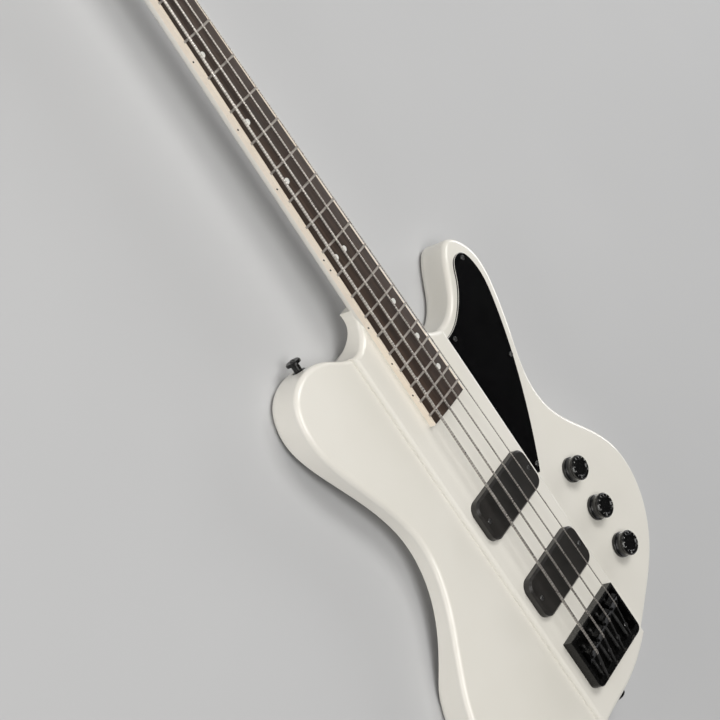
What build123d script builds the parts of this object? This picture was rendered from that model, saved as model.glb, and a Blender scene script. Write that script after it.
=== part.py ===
from build123d import *
from math import asin, atan2, cos, degrees, log2, radians, sin, sqrt
import os

"""Four-string solid-body electric bass guitar, lying on its back.

X runs across the strings (treble side +X), Y along the neck (headstock +Y), Z out of the face.
The origin is on the flat back, on the centre line, under the end of the scale. Sizes are in mm.
"""

os.makedirs("parts", exist_ok=True)

# Scale and heights
SCALE = 864.0
BODY_T = 42.0
WING_STEP = 5.0
WING_T = BODY_T - WING_STEP
RISER = 1.0
BOARD_T = 6.0
NECK_TOP = BODY_T + RISER
BOARD_TOP = NECK_TOP + BOARD_T

# Fits: a piece in its hole, moving pieces apart, and a plate in its recess
FIT = 0.05
SLIP = 0.3
PLATE_GAP = 0.25

# Neck and fretboard
NUT_W = 38.0
BOARD_END_W = 61.0
BOARD_LEN = 602.5
BOARD_END_Y = SCALE - BOARD_LEN
BOARD_RADIUS = 305.0
BINDING_T = 2.0
NECK_DEPTH_NUT = 16.0
NECK_DEPTH_HEEL = 18.0
NECK_ROOT_Y = 350.0
HEEL_Y = 386.0
HEEL_R = 26.0
NUT_T = 5.0
NUT_Y = SCALE + NUT_T / 2
FRET_W = 2.4
FRET_COUNT = int(12 * log2(SCALE / (BOARD_END_Y + FRET_W)))
FRET_H = 1.2
FRET_INSET = 0.3
DOT_R = 3.0
DOT_T = 1.5
SIDE_DOT_R = 1.0
SIDE_DOT_DROP = 2.6
DOUBLE_DOT_GAP = 5.6
MARKED = {3: [-11.5], 5: [-11.5], 7: [-12], 9: [-12.5], 12: [-15, 0], 15: [16], 17: [16.7], 19: [17.5]}
ROD_W = 6.0
ROD_H = 8.0
ROD_FLOOR = NECK_TOP - 11.0
ROD_NUT_R = 3.0
ROD_NUT_L = 16.0

# Body
REACH = 700.0
BLOCK_HALF = 61.0
BLOCK_EDGE_R = 4.0
TOP_EDGE_R = 5.0
BACK_EDGE_R = 8.0
BELLY_CENTRE = (-150.0, 200.0)
BELLY_DEPTH = 22.0
BELLY_R = 120.0
BELLY_SWEEP = 510.0

# Strings, bass to treble, and the heights of their undersides at the nut and the end of the scale
STRING_NAMES = ["e", "a", "d", "g"]
STRING_R = [1.34, 1.08, 0.83, 0.57]
NUT_PITCH = 10.2
BRIDGE_PITCH = 20.0
BOARD_CROWN = BOARD_TOP + BOARD_RADIUS - sqrt(BOARD_RADIUS ** 2 - (BOARD_END_W / 2) ** 2)
NUT_SEAT_Z = BOARD_CROWN + FRET_H + 0.4
BRIDGE_SEAT_Z = NUT_SEAT_Z + 4.5
NUT_TOP = NUT_SEAT_Z + 1.5
WRAP_TURNS = 2.25
WRAP_GAP = 0.15
BEND_SWELL = 0.03

# Headstock and tuners
HEAD_T = 13.0
HEAD_TOP = NECK_TOP - 5.0
HEAD_BOTTOM = HEAD_TOP - HEAD_T
SCOOP_R = 12.0
TUNER_ONE = (-18.0, 908.0)
TUNER_STEP = (9.6, 41.5)
TUNER_TURN = -degrees(atan2(TUNER_STEP[0], TUNER_STEP[1]))
POST_R = 5.0
POST_WAIST_R = 4.0
POST_WAIST = (2.6, 12.6)
POST_RISE = 16.0
POST_SLOT = (3.2, 4.0)
WRAP_Z = HEAD_TOP + 5.0
SLEEVE_R = 7.0
SLEEVE_FLANGE = (1.8, 1.5)
GEAR_R = 9.5
GEAR_T = 5.0
GEAR_TEETH = 20
TOOTH_DEPTH = 1.2
WORM_R = 4.0
WORM_Y = -(GEAR_R + WORM_R + SLIP)
WORM_Z = -6.5
KEY_SHAFT_R = 2.5
KEY_X = -44.0
KEY_SIZE = (12.0, 11.0, 7.0)
KEY_EDGE = 1.8
PLATE_X = (-19.0, 14.0)
PLATE_Y = (-26.5, 12.0)
PLATE_T = 2.0
BRACKET_X = (-15.0, 10.0)
BRACKET_W = 3.5
RETAINER = (10.5, 912.0)
RETAINER_Z = HEAD_TOP + 8.0
RETAINER_HALF = (8.5, 3.0)
RETAINER_T = 2.0

# Pickups
PICKUP_W = 100.0
PICKUP_L = 44.0
PICKUP_TOP = BODY_T + 8.5
PICKUP_CORNER_R = 11.0
PICKUP_EDGE = 2.2
PICKUP_WALL = 2.0
PICKUP_SCREW_X = 43.0
PICKUP_SCREW_SINK = 1.0
PICKUP_Y = {"neck": 156.4, "bridge": 62.9}
ROUT_FLOOR = BODY_T - 16.0
FOAM_T = 5.0

# Bridge
BRIDGE_HALF = 47.0
BRIDGE_FRONT = 10.0
BRIDGE_BACK = -48.0
BRIDGE_TOP = BODY_T + 11.0
BRIDGE_FLOOR = BODY_T + 2.5
BRIDGE_WALL = 3.5
BRIDGE_CORNER_R = 7.0
BRIDGE_EDGE = 0.8
BRIDGE_SCREW_X = (-39.0, -20.0, 0.0, 20.0, 39.0)
TAIL_WALL = 8.0
BALL_R = 2.0
BALL_HALF_W = 3.0
BALL_DEEP = 4.0
TAIL_STRING_Z = BRIDGE_TOP - 1.4
SADDLE_Y = [-12.0, -8.0, -4.0, -1.0]
SADDLE_W = 17.5
SADDLE_FRONT = 4.0
SADDLE_REAR = 10.0
SADDLE_CREST = 0.8
SADDLE_FALL = (3.0, 5.0)
SADDLE_TRAVEL = 3.0
SADDLE_UNDER = BRIDGE_FLOOR + 0.4
INTONATION_Z = BRIDGE_FLOOR + 2.8
INTONATION_HEAD = (2.2, 1.8)
INTONATION_SINK = 0.4
SET_SCREW_X = 6.0
SET_SCREW_BACK = 5.0

# Pickguard: the curved edge, clockwise from the block's front
GUARD_T = 2.5
GUARD_EDGE = 1.0
GUARD_X = BLOCK_HALF + 0.4
GUARD = [(GUARD_X, 302.5), (80, 305), (99, 314.4), (121, 335.4), (134, 350), (146, 349.5), (154.5, 333),
         (154.5, 312), (147, 285), (132, 247), (109, 202), (82, 159), (66, 137)]
GUARD_SCREWS = [(69, 296.5), (143, 344.5), (124.4, 240), (67.5, 146)]

# Controls
KNOB_X = 106.0
KNOB_Y = [110.0, 62.5, 15.0]
KNOB_R = 12.8
KNOB_H = 13.4
KNOB_FOOT = 0.6
KNOB_FLANGE = 2.6
KNOB_WAIST_R = 11.0
KNOB_RIM = (12.3, 3.0)
KNOB_BEVEL = 1.1
KNOB_DISH = (8.8, 0.8)
KNOB_WALL = 4.0
KNOB_HOLLOW = 7.4
SHAFT_R = 3.0
SHAFT_TOP = WING_T + 11.5
BUSHING_R = 4.5
POT_R = 12.0
POT_H = 12.0
SHAFT_DEEP = 8.0
POT_NUT = (7.5, 2.5)
CAVITY_ROOF = WING_T - 6.0
CAVITY_X = (79.0, 133.0)
CAVITY_Y = (-2.0, 132.0)
COVER_T = 2.0
COVER_LIP = 6.0
COVER_CORNER_R = 16.0
COVER_SCREW_L = 11.0

# Screws: shank radius, head radius and head height
SCREW_R = 1.5
SCREW_HEAD_R = 2.6
SCREW_HEAD_H = 1.4

# Edge hardware: where it meets the body's wall, and the way that wall faces
BUTTON_Z = 19.0
HORN_BUTTON = (-107.1, 385.7, 88.0)
TAIL_BUTTON = (0.0, -77.5, -83.5)
BUTTON_FOOT = (6.5, 1.6)
BUTTON_HEAD = (7.5, 3.0)
BUTTON_WAIST_R = 4.0
BUTTON_L = 13.0
BUTTON_SCREW_L = 20.0
JACK_SEAT = (120.5, -30.5, -59.2)
JACK_PLATE = (22.0, 34.0, 2.0)
JACK_PLATE_CORNER_R = 4.0
JACK_SCREW_Y = 13.0
JACK_R = 3.25
JACK_SLEEVE_R = 4.75
JACK_BARREL_R = 8.0
JACK_BARREL_L = 32.0
JACK_CHANNEL_L = 46.0
JACK_RISE = 5.0
JACK_NUT = (8.0, 2.5)

# Outlines: the body from the neck round the bass side to the neck again, and the headstock's two curves
OUTLINE_NECK_Y = (396.0, 350.0)
CUTAWAY_BASS = (5.65, 374.0)
CUTAWAY_TREBLE = (12.69, 324.0)
OUTLINE_CURVE = [
    (-52, 363), (-85, 379), (-115, 388.5), (-146, 379), (-160.5, 345), (-150, 290), (-127, 230),
    (-120, 196), (-129, 150), (-167, 90), (-198, 35), (-202, -15), (-184, -62), (-145, -88), (-100, -90),
    (-52, -81), (0, -78), (46, -68), (92, -47.5), (149, -13.5), (183, 38), (184, 85), (157, 132), (133, 174),
    (131.5, 206), (147.5, 251.5), (164, 297.5), (164, 347), (142, 367.5), (119, 350), (93, 321), (66, 314),
]
HEAD_BASS = [(-19, 860), (-21, 874), (-32, 887), (-43.5, 899)]
HEAD_TREBLE = [(-6.3, 1059.7), (11, 1079), (33, 1066), (37.5, 1025), (28, 950), (21.5, 890), (19, 860)]


def save(name, *solids):
    """Write one subcomponent as its own STEP file."""
    export_step(solids[0] if len(solids) == 1 else Compound(list(solids)), f"parts/{name}.step")


def block(x0, x1, y0, y1, z0, z1):
    """Box between two corners."""
    return Pos((x0 + x1) / 2, (y0 + y1) / 2, (z0 + z1) / 2) * Box(x1 - x0, y1 - y0, z1 - z0)


def post(radius, x, y, z0, z1):
    """Upright cylinder from z0 to z1."""
    return Pos(x, y, (z0 + z1) / 2) * Cylinder(radius, z1 - z0)


def rod(radius, start, end):
    """Cylinder between two points."""
    start, end = Vector(*start), Vector(*end)
    return Plane(origin=(start + end) / 2, z_dir=end - start) * Cylinder(radius, (end - start).length)


def hex_nut(across, height, bore):
    """Hexagonal nut standing on z = 0."""
    return extrude(RegularPolygon(across, 6), height) - Cylinder(bore, 3 * height)


def cut_all(solid, cutters):
    """Take every cutter out of a solid."""
    for cutter in cutters:
        solid = solid - cutter
    return solid


def screw(x, y, seat, length):
    """Wood screw with its domed head standing on seat."""
    head = post(SCREW_HEAD_R, x, y, seat, seat + SCREW_HEAD_H)
    head = chamfer(head.edges().filter_by(GeomType.CIRCLE).sort_by(Axis.Z)[-1], SCREW_HEAD_H / 2)
    return head + post(SCREW_R, x, y, seat - length, seat)


def pilot(x, y, top, depth):
    """Hole for a screw's shank, open at the top."""
    return post(SCREW_R + FIT, x, y, top - depth, top + 1)


def fret_y(number):
    """Y of a fret, in equal temperament."""
    return SCALE * 2 ** (-number / 12)


def board_half(y):
    """Half the fretboard's width at y."""
    return (NUT_W + (BOARD_END_W - NUT_W) * (SCALE - y) / BOARD_LEN) / 2


def string_x(index, y):
    """X of a string at y, fanning evenly from nut to bridge."""
    return (index - 1.5) * (NUT_PITCH + (BRIDGE_PITCH - NUT_PITCH) * (SCALE - y) / SCALE)


def seat_z(y):
    """Height of the strings' undersides at y."""
    return NUT_SEAT_Z + (BRIDGE_SEAT_Z - NUT_SEAT_Z) * (SCALE - y) / SCALE


def string_point(index, y):
    """Point on a string's axis between the nut and its saddle."""
    return string_x(index, y), y, seat_z(y) + STRING_R[index]


def taper(y0, y1, z0, z1, inset=0.0):
    """Prism with the fretboard's plan between y0 and y1."""
    corners = [(-board_half(y0) + inset, y0), (board_half(y0) - inset, y0),
               (board_half(y1) - inset, y1), (-board_half(y1) + inset, y1)]
    return extrude(Pos(0, 0, z0) * make_face(Polyline(*corners, close=True)), z1 - z0)


# Body: one outline, a raised centre block and two lower wings
outline = [(-board_half(OUTLINE_NECK_Y[0]), OUTLINE_NECK_Y[0]),
           (-board_half(CUTAWAY_BASS[1]) - CUTAWAY_BASS[0], CUTAWAY_BASS[1]), *OUTLINE_CURVE,
           (board_half(CUTAWAY_TREBLE[1]) + CUTAWAY_TREBLE[0], CUTAWAY_TREBLE[1]),
           (board_half(OUTLINE_NECK_Y[1]), OUTLINE_NECK_Y[1])]
neck_edge = Polyline(outline[-1], (board_half(OUTLINE_NECK_Y[0]), OUTLINE_NECK_Y[0]), outline[0])
plan = make_face(Spline(*outline) + neck_edge)
belly = Pos(*BELLY_CENTRE, BELLY_DEPTH - BELLY_R - BELLY_SWEEP) * Rot(0, 90, 0) * Torus(BELLY_SWEEP, BELLY_R)


def contoured(height):
    """The whole plan at one thickness, with rounded front and back edges and the belly contour."""
    solid = extrude(plan, height)
    solid = fillet(solid.edges().filter_by(GeomType.BSPLINE).sort_by(Axis.Z)[-1], TOP_EDGE_R)
    solid = fillet(solid.edges().filter_by(GeomType.BSPLINE).sort_by(Axis.Z)[0], BACK_EDGE_R)
    return solid - belly


def on_wall(seat):
    """Frame on the body's edge, its Z pointing outward from the seat."""
    x, y, angle = seat
    return Plane(origin=(x, y, BUTTON_Z), x_dir=(0, 0, 1), z_dir=(cos(radians(angle)), sin(radians(angle)), 0))


wings = contoured(WING_T)
wing_bass = wings & block(-REACH, -BLOCK_HALF, -REACH, REACH, -1, BODY_T)
wing_treble = wings & block(BLOCK_HALF, REACH, -REACH, REACH, -1, BODY_T)
core = block(-BLOCK_HALF, BLOCK_HALF, -REACH, REACH, -10, BODY_T)
core = fillet(core.edges().filter_by(Axis.Y).group_by(Axis.Z)[-1], BLOCK_EDGE_R) & contoured(BODY_T)


# Neck: a D-shaped shaft with a swept heel, running into the core
def neck_section(y, depth):
    """Half-ellipse neck section at y, flat side up at the fretboard glue line."""
    half = board_half(y)
    arc = EllipticalCenterArc((0, 0), half, depth, start_angle=180, arc_size=180)
    face = make_face(arc + Line((half, 0), (-half, 0)))
    return Plane(origin=(0, y, NECK_TOP), x_dir=(1, 0, 0), z_dir=(0, -1, 0)) * face


shelf_y = SCALE + NUT_T
shaft = loft([neck_section(shelf_y + 3, NECK_DEPTH_NUT), neck_section(NECK_ROOT_Y, NECK_DEPTH_HEEL)])
heel_top = NECK_TOP - NECK_DEPTH_HEEL
heel_cut = block(-REACH, REACH, HEEL_Y, REACH, -HEEL_R, heel_top)
heel_cut += rod(HEEL_R, (-REACH, HEEL_Y, heel_top - HEEL_R), (REACH, HEEL_Y, heel_top - HEEL_R))
riser = taper(BOARD_END_Y, NECK_ROOT_Y + 10, BODY_T - 1, NECK_TOP)

# Headstock: its plate, and a scoop that rises to the nut shelf
head_line = Spline(*HEAD_BASS) + Line(HEAD_BASS[-1], HEAD_TREBLE[0]) + Spline(*HEAD_TREBLE)
head_plan = make_face(head_line + Line(HEAD_TREBLE[-1], HEAD_BASS[0]))
head = Pos(0, 0, HEAD_BOTTOM) * extrude(head_plan, HEAD_T)
nose = Pos(0, 0, HEAD_TOP) * extrude(head_plan, NECK_TOP - HEAD_TOP)
nose = nose & block(-NUT_W, NUT_W, shelf_y - 10, shelf_y + SCOOP_R, HEAD_TOP, NECK_TOP)
scoop_y = shelf_y + sqrt(SCOOP_R ** 2 - (SCOOP_R - (NECK_TOP - HEAD_TOP)) ** 2)
nose -= rod(SCOOP_R, (-NUT_W, scoop_y, HEAD_TOP + SCOOP_R), (NUT_W, scoop_y, HEAD_TOP + SCOOP_R))
nose -= block(-NUT_W, NUT_W, scoop_y, scoop_y + SCOOP_R, HEAD_TOP, NECK_TOP + 1)

tuners = [Pos(TUNER_ONE[0] + i * TUNER_STEP[0], TUNER_ONE[1] + i * TUNER_STEP[1], HEAD_BOTTOM)
          * Rot(0, 0, TUNER_TURN) for i in range(len(STRING_R))]
plate_screws = [(x, y) for x in (PLATE_X[0] + 4, PLATE_X[1] - 3) for y in (PLATE_Y[0] + 3.5, PLATE_Y[1] - 3.5)]

ROD_Y = (330.0, shelf_y + 5)
ROD_NUT_Y = (ROD_Y[1], ROD_Y[1] + ROD_NUT_L)
ROD_Z = ROD_FLOOR + ROD_H / 2
TRUSS_COVER_Y = (scoop_y + 0.5, scoop_y + 24)
TRUSS_COVER_HALF = 9.0
TRUSS_COVER_T = 2.4
TRUSS_SCREW_L = 8.0
truss_screws = [(0, TRUSS_COVER_Y[1] - 3.5), (-6.5, TRUSS_COVER_Y[0] + 3), (6.5, TRUSS_COVER_Y[0] + 3)]

neck = core + shaft + riser + head + nose - heel_cut
neck_cuts = [block(-ROD_W / 2 - FIT, ROD_W / 2 + FIT, ROD_Y[0], ROD_Y[1], ROD_FLOOR, NECK_TOP + 1),
             block(-ROD_NUT_R - 1, ROD_NUT_R + 1, ROD_Y[1], ROD_NUT_Y[1] + 2, ROD_FLOOR, NECK_TOP + 1),
             pilot(*RETAINER, HEAD_TOP, TRUSS_SCREW_L)]
neck_cuts += [pilot(x, y, HEAD_TOP, TRUSS_SCREW_L) for x, y in truss_screws]
neck_cuts += [spot * post(SLEEVE_R + FIT, 0, 0, -1, HEAD_T + 1) for spot in tuners]
neck_cuts += [spot * post(SCREW_R + FIT, x, y, -1, 6) for spot in tuners for x, y in plate_screws]


# Pickups: a hollow cover on foam, round a solid core
def pickup_plan(y, inset=0.0, half=PICKUP_W / 2):
    """Rounded plan of a pickup centred at y."""
    width, length = 2 * (half - inset), PICKUP_L - 2 * inset
    return Pos(0, y, 0) * RectangleRounded(width, length, min(PICKUP_CORNER_R - inset, length / 2 - 1))


def layer(face, z0, z1):
    """A plan raised from z0 to z1."""
    return Pos(0, 0, z0) * extrude(face, z1 - z0)


pickup_screws = [(side * PICKUP_SCREW_X, y) for y in PICKUP_Y.values() for side in (-1, 1)]
foam_top = ROUT_FLOOR + FOAM_T
screw_seat = PICKUP_TOP - PICKUP_SCREW_SINK
core_half = PICKUP_SCREW_X - SCREW_HEAD_R - 2
shank_holes = [post(SCREW_R + FIT, x, y, ROUT_FLOOR - 9, PICKUP_TOP + 1) for x, y in pickup_screws]
head_holes = [post(SCREW_HEAD_R + SLIP, x, y, screw_seat, PICKUP_TOP + 1) for x, y in pickup_screws]
covers, cores, foams = {}, [], []
for name, y in PICKUP_Y.items():
    cover = layer(pickup_plan(y), foam_top, PICKUP_TOP)
    cover = chamfer(cover.faces().sort_by(Axis.Z)[-1].edges(), PICKUP_EDGE)
    cover -= layer(pickup_plan(y, PICKUP_WALL), ROUT_FLOOR, PICKUP_TOP - PICKUP_WALL)
    covers[name] = cut_all(cover, shank_holes + head_holes)
    cores.append(layer(pickup_plan(y, PICKUP_WALL + PLATE_GAP, core_half), foam_top, PICKUP_TOP - PICKUP_WALL))
    foams.append(cut_all(layer(pickup_plan(y, 1.0), ROUT_FLOOR, foam_top), shank_holes))
    neck_cuts.append(layer(pickup_plan(y, -SLIP), ROUT_FLOOR, BODY_T + 1))
neck_cuts += shank_holes

# Bridge: a walled tray with four sliding saddles, each on its own screw through the tail wall
bridge = block(-BRIDGE_HALF, BRIDGE_HALF, BRIDGE_BACK, BRIDGE_FRONT, BODY_T, BRIDGE_TOP)
bridge = fillet(bridge.edges().filter_by(Axis.Z).group_by(Axis.Y)[0], BRIDGE_CORNER_R)
bridge = chamfer(bridge.faces().sort_by(Axis.Z)[-1].edges(), BRIDGE_EDGE)
bridge -= block(-BRIDGE_HALF + BRIDGE_WALL, BRIDGE_HALF - BRIDGE_WALL, BRIDGE_BACK + TAIL_WALL,
                BRIDGE_FRONT - BRIDGE_WALL, BRIDGE_FLOOR, BRIDGE_TOP + 1)
bridge_screws = [(x, BRIDGE_BACK + TAIL_WALL + 4) for x in BRIDGE_SCREW_X]
BRIDGE_SCREW_L = 20.0
bridge_cuts = [pilot(x, y, BRIDGE_FLOOR, BRIDGE_SCREW_L) for x, y in bridge_screws]
neck_cuts += bridge_cuts
saddles, intonation = [], []
for i, crest_y in enumerate(SADDLE_Y):
    x = string_x(i, crest_y)
    top = seat_z(crest_y) - SLIP
    front, rear = crest_y + SADDLE_FRONT, crest_y - SADDLE_REAR
    profile = Polyline((front, SADDLE_UNDER), (front, top - SADDLE_FALL[0]), (crest_y + SADDLE_CREST, top),
                       (crest_y - SADDLE_CREST, top), (rear, top - SADDLE_FALL[1]), (rear, SADDLE_UNDER), close=True)
    side = Plane(origin=(x - SADDLE_W / 2, 0, 0), x_dir=(0, 1, 0), z_dir=(1, 0, 0))
    saddle = extrude(side * make_face(profile), SADDLE_W)
    lift_at = [(x + dx, crest_y - SET_SCREW_BACK) for dx in (-SET_SCREW_X, SET_SCREW_X)]
    lifts = [post(SCREW_R, *spot, BRIDGE_FLOOR + FIT, top - 1) for spot in lift_at]
    saddle = cut_all(saddle, [post(SCREW_R + FIT, *spot, BODY_T, BRIDGE_SEAT_Z) for spot in lift_at]
                     + [rod(SCREW_R + FIT, (x, rear - 1, INTONATION_Z), (x, front + 1, INTONATION_Z))])
    saddles.append((saddle, lifts))
    head_start = (x, BRIDGE_BACK + INTONATION_SINK, INTONATION_Z)
    head_end = (x, BRIDGE_BACK + INTONATION_HEAD[1], INTONATION_Z)
    intonation.append(rod(SCREW_R, head_start, (x, front + SADDLE_TRAVEL - SLIP, INTONATION_Z))
                      + rod(INTONATION_HEAD[0], head_start, head_end))
    slot = STRING_R[i] + SLIP
    tail_y = BRIDGE_BACK + TAIL_WALL + 1
    ball_w = BALL_HALF_W + 2 * SLIP
    bridge_cuts += [rod(SCREW_R + FIT, head_start, (x, tail_y, INTONATION_Z)),
                    rod(INTONATION_HEAD[0] + FIT, (x, BRIDGE_BACK - 1, INTONATION_Z), head_end),
                    block(x - slot, x + slot, BRIDGE_BACK - 1, tail_y, TAIL_STRING_Z - slot, BRIDGE_TOP + 1),
                    block(x - ball_w, x + ball_w, BRIDGE_BACK - 1, BRIDGE_BACK + BALL_DEEP,
                          TAIL_STRING_Z - BALL_R, BRIDGE_TOP + 1)]
bridge = cut_all(bridge, bridge_cuts)


# Strings: ball end, straight runs, and the turns that climb the tuner post
def string_path(i):
    """Corners of one string from its ball to the post, and the helix of its turns."""
    radius = STRING_R[i]
    tail = Vector(string_x(i, SADDLE_Y[i]), BRIDGE_BACK + BALL_DEEP / 2, TAIL_STRING_Z)
    bend, crest = Vector(*string_point(i, SADDLE_Y[i] - SADDLE_TRAVEL)), Vector(*string_point(i, NUT_Y))
    pitch = 2 * radius + WRAP_GAP
    post_at = Pos(TUNER_ONE[0] + i * TUNER_STEP[0], TUNER_ONE[1] + i * TUNER_STEP[1], WRAP_Z)
    turns = post_at * Helix(pitch, WRAP_TURNS * pitch, POST_WAIST_R + SLIP + radius)
    path = [tail, bend, crest, turns @ 0]
    if i > 1:
        held_y = RETAINER[1] - RETAINER_HALF[1]
        held = crest + (path[3] - crest) * ((held_y - crest.Y) / (path[3].Y - crest.Y))
        path.insert(3, Vector(held.X, held.Y, RETAINER_Z - radius - 2 * FIT))
    return path, turns


def string(i):
    """One string from its ball in the bridge to its last turn on the post."""
    radius = STRING_R[i]
    path, turns = string_path(i)
    tail = path[0]
    solid = rod(BALL_R, tail - Vector(BALL_HALF_W, 0, 0), tail + Vector(BALL_HALF_W, 0, 0))
    for start, end in zip(path, path[1:]):
        solid += rod(radius, start, end) + Pos(*end) * Sphere(radius + BEND_SWELL)
    return solid + sweep((turns ^ 0) * Circle(radius), path=turns, is_frenet=True)


# Fretboard with binding, frets and markers; the crown is one cylinder from nut to end
crown_axis = BOARD_CROWN - BOARD_RADIUS
crown = rod(BOARD_RADIUS, (0, BOARD_END_Y - 5, crown_axis), (0, SCALE + 5, crown_axis))
blank = taper(BOARD_END_Y, SCALE, NECK_TOP, BOARD_TOP + 5) & crown
wood = taper(BOARD_END_Y, SCALE, NECK_TOP, BOARD_TOP + 5, inset=BINDING_T) & crown
binding = blank - taper(BOARD_END_Y, SCALE, NECK_TOP - 1, BOARD_TOP + 6, inset=BINDING_T)

frets = []
bend_axis = Axis((0, 0, crown_axis), (0, 1, 0))
across = Plane(origin=(0, 0, BOARD_CROWN), x_dir=(0, 1, 0), z_dir=(1, 0, 0))
for number in range(1, FRET_COUNT + 1):
    y = fret_y(number)
    foot, toe = (y - FRET_W / 2, 0), (y + FRET_W / 2, 0)
    bead = across * make_face(ThreePointArc(foot, (y, FRET_H), toe) + Line(toe, foot))
    half_angle = degrees(asin((board_half(y) - FRET_INSET) / BOARD_RADIUS))
    frets.append(revolve(bead.rotate(bend_axis, -half_angle), bend_axis, 2 * half_angle))

dots, side_dots, dot_pockets, side_pockets = [], [], [], []
for number, places in MARKED.items():
    if number > FRET_COUNT:
        break
    y = (fret_y(number) + fret_y(number - 1)) / 2
    for x in places:
        floor = crown_axis + sqrt(BOARD_RADIUS ** 2 - x ** 2) - DOT_T
        dot_pockets.append(post(DOT_R, x, y, floor, BOARD_TOP + 5))
        dots.append(dot_pockets[-1] & crown)
    for mark_y in (y - DOUBLE_DOT_GAP, y + DOUBLE_DOT_GAP) if len(places) > 1 else (y,):
        wall, z = -board_half(mark_y), BOARD_TOP - SIDE_DOT_DROP
        side_dots.append(rod(SIDE_DOT_R, (wall, mark_y, z), (wall + 1, mark_y, z)))
        side_pockets.append(rod(SIDE_DOT_R, (wall - 1, mark_y, z), (wall + 1, mark_y, z)))

nut = block(-NUT_W / 2, NUT_W / 2, SCALE, shelf_y, NECK_TOP, NUT_TOP)
nut = chamfer(nut.edges().filter_by(Axis.X).group_by(Axis.Z)[-1], 0.8)
for i, radius in enumerate(STRING_R):
    x, slot = string_x(i, NUT_Y), radius + SLIP
    nut -= block(x - slot, x + slot, SCALE - 1, shelf_y + 1, NUT_SEAT_Z - 2 * FIT, NUT_TOP + 1)
    crest, ahead = string_path(i)[0][2:4]
    nut -= rod(radius + 2 * FIT, crest, ahead)

# Pickguard and control cavity: plans, recesses and screw holes
guard_line = Spline(*GUARD) + Polyline(GUARD[-1], (GUARD_X, GUARD[-1][1] + 2), GUARD[0])
pickguard = layer(make_face(guard_line), WING_T, WING_T + GUARD_T)
pickguard = chamfer(pickguard.faces().sort_by(Axis.Z)[-1].edges(), GUARD_EDGE)
guard_holes = [pilot(x, y, WING_T + GUARD_T, 12) for x, y in GUARD_SCREWS]

cover_w, cover_l = (high - low + 2 * COVER_LIP for low, high in (CAVITY_X, CAVITY_Y))
cover_x, cover_y = sum(CAVITY_X) / 2, sum(CAVITY_Y) / 2
cover_plan = Pos(cover_x, cover_y, 0) * RectangleRounded(cover_w, cover_l, COVER_CORNER_R)
corner_in = COVER_CORNER_R - (COVER_CORNER_R - COVER_LIP / 2) * cos(radians(45))
cover_screws = [(cover_x + sx * (cover_w / 2 - corner_in), cover_y + sy * (cover_l / 2 - corner_in))
                for sx in (-1, 1) for sy in (-1, 1)]

# Edge hardware: frames on the wall, and what each takes out of the wood
jack_frame = on_wall(JACK_SEAT)
jack_screw_spots = [Pos(0, side * JACK_SCREW_Y, 0) for side in (-1, 1)]
jack_flat = Pos(0, 0, 10) * Box(JACK_PLATE[0] + 1, JACK_PLATE[1] + 1, 20)
jack_channel = Pos(0, 0, -JACK_CHANNEL_L / 2) * Cylinder(JACK_BARREL_R + SLIP, JACK_CHANNEL_L)
button_frames = {"horn": on_wall(HORN_BUTTON), "tail": on_wall(TAIL_BUTTON)}
button_flat = Pos(0, 0, 10) * Cylinder(BUTTON_FOOT[0] + SLIP, 20)
button_pilot = Pos(0, 0, -BUTTON_SCREW_L / 2) * Cylinder(SCREW_R + FIT, BUTTON_SCREW_L + 2)
seat_cuts = {name: [frame * button_flat, frame * button_pilot] for name, frame in button_frames.items()}

treble_cuts = [layer(offset(cover_plan, PLATE_GAP), -1, COVER_T), extrude(offset(cover_plan, -COVER_LIP), CAVITY_ROOF)]
treble_cuts += [post(BUSHING_R + FIT, KNOB_X, y, CAVITY_ROOF - 1, WING_T + 1) for y in KNOB_Y]
treble_cuts += [post(SCREW_R + FIT, x, y, 0, SCREW_HEAD_H + COVER_SCREW_L + 1) for x, y in cover_screws]
treble_cuts += [jack_frame * jack_flat, jack_frame * jack_channel]
treble_cuts += [jack_frame * spot * Pos(0, 0, -5) * Cylinder(SCREW_R + FIT, 12) for spot in jack_screw_spots]

save("neck_through", cut_all(neck, neck_cuts + seat_cuts["tail"]))
save("wing_bass", cut_all(wing_bass, seat_cuts["horn"]))
save("wing_treble", cut_all(wing_treble, treble_cuts + guard_holes))
save("fretboard", cut_all(wood, dot_pockets))
save("fretboard_binding", cut_all(binding, side_pockets))
save("frets", *frets)
save("inlay_dots", *dots)
save("side_dots", *side_dots)
save("nut", nut)

truss_rod = block(-ROD_W / 2, ROD_W / 2, ROD_Y[0], ROD_Y[1], ROD_FLOOR, ROD_FLOOR + ROD_H)
truss_rod += rod(ROD_NUT_R, (0, ROD_NUT_Y[0], ROD_Z), (0, ROD_NUT_Y[1], ROD_Z))
truss_cover = block(-TRUSS_COVER_HALF, TRUSS_COVER_HALF, *TRUSS_COVER_Y, HEAD_TOP, HEAD_TOP + TRUSS_COVER_T)
truss_cover = fillet(truss_cover.edges().filter_by(Axis.Z), 3)
truss_cover -= block(-ROD_NUT_R - 1, ROD_NUT_R + 1, TRUSS_COVER_Y[0] - 1, ROD_NUT_Y[1] + 1, 0, HEAD_TOP + 1.4)
truss_holes = [post(SCREW_R + FIT, x, y, HEAD_TOP - 1, NECK_TOP) for x, y in truss_screws]
save("truss_rod", truss_rod)
save("truss_rod_cover", cut_all(truss_cover, truss_holes))
save("truss_cover_screws", *[screw(x, y, HEAD_TOP + TRUSS_COVER_T, TRUSS_SCREW_L) for x, y in truss_screws])

# Tuners, drawn once at the origin and set along the headstock
worm_line = Plane(origin=(0, WORM_Y, WORM_Z), z_dir=(1, 0, 0))


def on_worm(radius, x0, x1):
    """Cylinder on the worm's axis from x0 to x1."""
    return worm_line * Pos(0, 0, (x0 + x1) / 2) * Cylinder(radius, x1 - x0)


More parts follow.
